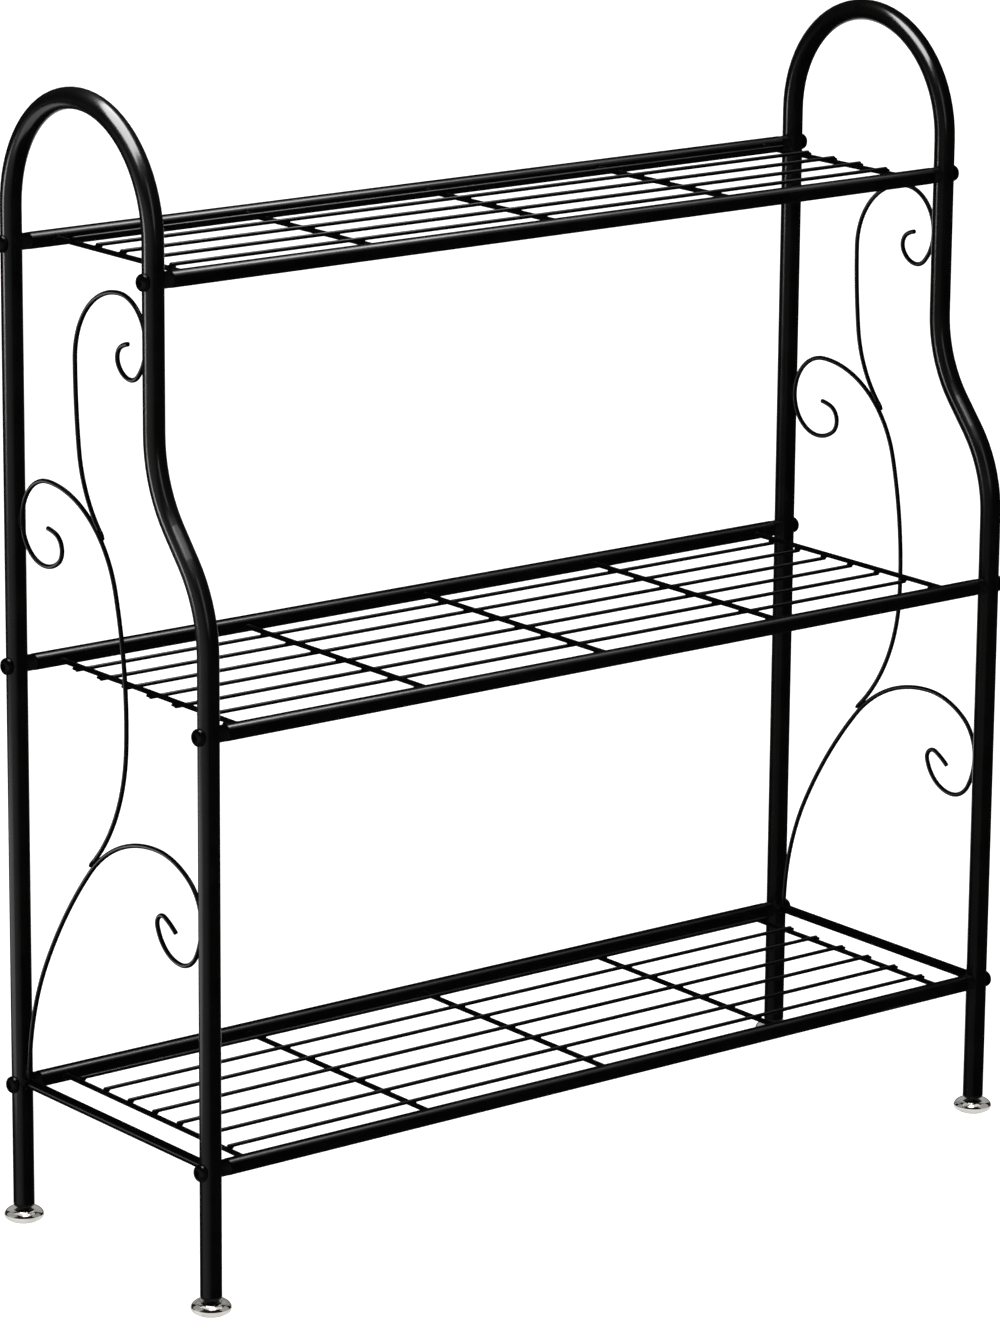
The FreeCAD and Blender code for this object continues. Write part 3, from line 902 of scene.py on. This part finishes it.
@dataclass(frozen=True)
class PhotoCamera:
    """The camera at the photograph's place, angle and framing."""

    place: Place = (-2.6324, -3.3233, 1.5162)
    azimuth: float = -38.214
    elevation: float = 14.764
    roll: float = 0.487
    lens: float = 157.996
    sensor: float = 36.0

    def build(self) -> None:
        """Makes it the scene's camera."""
        azimuth = math.radians(self.azimuth)
        elevation = math.radians(self.elevation)
        level_reach = math.cos(elevation)
        back = Vector((math.sin(azimuth) * level_reach, -math.cos(azimuth) * level_reach,
                       math.sin(elevation)))
        level = (-back).to_track_quat("-Z", "Y")
        data = bpy.data.cameras.new("photo_camera")
        data.sensor_width = self.sensor
        data.lens = self.lens
        camera = bpy.data.objects.new("photo_camera", data)
        turn = level.to_matrix() @ Matrix.Rotation(math.radians(self.roll), 3, "Z")
        camera.matrix_world = Matrix.Translation(self.place) @ turn.to_4x4()
        bpy.context.scene.collection.objects.link(camera)
        bpy.context.scene.camera = camera


@dataclass
class Studio:
    """Pale floor that curves up into a round wall, soft lights and a dim surround.

    The floor lies just below the lowest place that the screw feet can reach, so that they show at
    every pose.
    """

    floor_drop: float = 0.0105
    floor_radius: float = 9.0
    cove_radius: float = 3.0
    wall_height: float = 6.0
    facets: int = 96
    cove_facets: int = 10
    merge_distance: float = 1e-5
    surround: float = 0.015
    softboxes: tuple[Softbox, ...] = (
        Softbox("left_overhead", (-0.85, -0.08, 2.6), (-0.85, -0.08, 0.0), 2.4, 1.9, 280.0,
                Lit.LEFT_TUBE),
        Softbox("right_overhead", (-0.93, -0.08, 2.6), (-0.93, -0.08, 0.0), 1.65, 1.9, 190.0,
                Lit.RIGHT_TUBE),
        Softbox("front_softbox", (-0.8, -2.2, 1.6), (-0.37, -0.06, 0.8), 0.5, 1.6, 4.5, Lit.TUBES),
        Softbox("near_strip", (0.95, 0.0, 2.4), (0.95, 0.0, 0.0), 0.4, 0.5, 8.8, Lit.SHELVES),
        Softbox("near_glow", (0.95, 0.0, 2.41), (0.95, 0.0, 0.0), 0.5, 1.6, 6.3, Lit.SHELVES),
        Softbox("middle_strip", (1.25, 0.0, 2.4), (1.25, 0.0, 0.0), 0.2, 0.5, 1.3, Lit.SHELVES),
        Softbox("far_strip", (1.7, 0.0, 2.4), (1.7, 0.0, 0.0), 0.7, 0.5, 1.2, Lit.SHELVES),
        Softbox("shelf_sheen", (1.4, -0.5, 2.42), (1.4, -0.5, 0.0), 1.3, 2.2, 3.2, Lit.SHELVES),
        Softbox("shelf_strip", (-0.65, 0.0, 2.4), (-0.65, 0.0, 0.0), 2.8, 0.5, 17.6, Lit.SHELVES),
        Softbox("far_wrap", (1.4, 1.75, 0.0), (0.0, 0.0, 0.0), 1.6, 2.2, 9.0, Lit.TUBES),
        Softbox("left_core", (-1.95, 0.2, 0.0), (0.0, 0.2, 0.0), 1.4, 2.2, 1.3, Lit.LEFT_TUBE),
        Softbox("left_glow", (-1.96, -0.1, 0.0), (0.0, -0.1, 0.0), 2.6, 2.2, 2.9, Lit.LEFT_TUBE),
        Softbox("left_wrap", (-1.97, -0.5, 0.0), (0.0, -0.5, 0.0), 4.2, 2.2, 3.4),
        Softbox("left_strip", (-1.97, 1.08, 0.4), (-0.37, -0.06, 0.8), 0.45, 0.35, 4.9, Lit.TUBES),
        Softbox("floor_patch", (-1.05, 0.68, 0.001), (-1.05, 0.68, 1.0), 0.9, 1.05, 3.9,
                Lit.LEFT_TUBE),
        Softbox("bar_patch", (-1.05, 0.68, 0.002), (-1.05, 0.68, 1.0), 0.9, 1.05, 3.9, Lit.BARS),
        Softbox("scroll_kicker", (-1.57, 1.52, -0.1), (-0.37, 0.0, 0.4), 0.6, 1.1, 8.0,
                Lit.SCROLLS),
        Softbox("feet_sky", (0.0, 0.0, 2.6), (0.0, 0.0, 0.0), 3.0, 3.0, 25.0, Lit.FEET),
        Softbox("feet_ground", (0.0, 0.0, -0.0104), (0.0, 0.0, 1.0), 3.0, 3.0, 25.0, Lit.FEET),
        Softbox("feet_front", (-0.45, -0.6, 2.4), (0.0, 0.0, 0.0), 1.0, 1.2, 11.3, Lit.FEET),
        Softbox("feet_back", (1.55, 1.97, 1.6), (0.0, 0.0, 0.0), 5.0, 2.4, 17.0, Lit.FEET),
        Softbox("feet_left", (-1.73, 1.36, 1.5), (0.0, 0.0, 0.0), 2.5, 2.0, 6.3, Lit.FEET),
        Softbox("feet_right", (1.73, -1.36, 1.5), (0.0, 0.0, 0.0), 2.5, 2.0, 6.3, Lit.FEET),
        Softbox("floor_softbox", (0.0, 0.0, 3.5), (0.0, 0.0, 0.0), 4.0, 4.0, 30.0, Lit.FLOOR),
    )

    def build(self, pieces: dict[Lit, list[bpy.types.Object]]) -> None:
        """Sets up floor, surround and lights.

        Args:
            pieces: The pieces of the stand that each kind of light is for.
        """
        self._surround()
        pieces[Lit.FLOOR].append(self._floor())
        groups = {}
        for lit, lit_pieces in pieces.items():
            groups[lit] = bpy.data.collections.new(lit.value)
            for piece in lit_pieces:
                groups[lit].objects.link(piece)
        for softbox in self.softboxes:
            softbox.build(groups)
        bpy.context.scene.view_settings.view_transform = "Standard"

    def _floor(self) -> bpy.types.Object:
        """Spins the floor and its wall from a few points."""
        shell = bmesh.new()
        edge = shell.verts.new((self.floor_radius, 0, 0))
        centre = shell.verts.new((0, 0, 0))
        shell.edges.new((centre, edge))
        made = bmesh.ops.spin(shell, geom=[edge], cent=(self.floor_radius, 0, self.cove_radius),
                              axis=(0, -1, 0), angle=FULL_TURN / 4, steps=self.cove_facets)
        rim = [item for item in made["geom_last"] if isinstance(item, bmesh.types.BMVert)]
        top = bmesh.ops.extrude_vert_indiv(shell, verts=rim)["verts"]
        bmesh.ops.translate(shell, verts=top, vec=(0, 0, self.wall_height))
        bmesh.ops.spin(shell, geom=shell.edges[:] + shell.verts[:], cent=(0, 0, 0), axis=(0, 0, 1),
                       angle=FULL_TURN, steps=self.facets, use_merge=True)
        bmesh.ops.remove_doubles(shell, verts=shell.verts, dist=self.merge_distance)
        bmesh.ops.translate(shell, verts=shell.verts, vec=(0, 0, -self.floor_drop))
        data = bpy.data.meshes.new("studio_floor")
        shell.to_mesh(data)
        shell.free()
        data.shade_smooth()
        data.materials.append(PaleFloor("pale_floor").build())
        floor = bpy.data.objects.new("studio_floor", data)
        bpy.context.scene.collection.objects.link(floor)
        floor.visible_glossy = False
        floor.visible_shadow = False
        return floor

    def _surround(self) -> None:
        """Fills the room with dim even light."""
        world = bpy.data.worlds.new("studio_surround")
        world.use_nodes = True
        background = world.node_tree.nodes["Background"]
        background.inputs["Color"].default_value = (1.0, 1.0, 1.0, 1.0)
        background.inputs["Strength"].default_value = self.surround
        bpy.context.scene.world = world


def main() -> None:
    """Dresses the frame, adds the new pieces and sets up the studio."""
    logging.basicConfig(level=logging.INFO, format="%(name)s: %(message)s")
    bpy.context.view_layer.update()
    nodes = frame["nodes"]
    rack = FinishRack(FINISHES)
    rack.dress_frame(nodes, frame["record"])
    LOG.info("dressed %d CAD nodes", len(nodes))
    pieces: dict[Lit, list[bpy.types.Object]] = {lit: [] for lit in Lit}
    pieces[Lit.STAND] += nodes.values()
    subassemblies: list[ScrewFoot | SideFrame | WireShelf] = [SideFrame(side) for side in Side]
    subassemblies += [WireShelf(Tier.TOP, 5), WireShelf(Tier.MIDDLE, 7), WireShelf(Tier.BOTTOM, 7)]
    subassemblies += [ScrewFoot(side, row) for row in Row for side in Side]
    for subassembly in subassemblies:
        piece = subassembly.build(rack)
        pieces[Lit.STAND].append(piece)
        for lit, names in subassembly.lit_nodes().items():
            pieces[lit] += [nodes[name] for name in names]
        LOG.info("built %s with %d faces", piece.name, len(piece.data.polygons))
    PhotoCamera().build()
    Studio().build(pieces)
    bpy.context.view_layer.update()


if __name__ == "__main__":
    main()
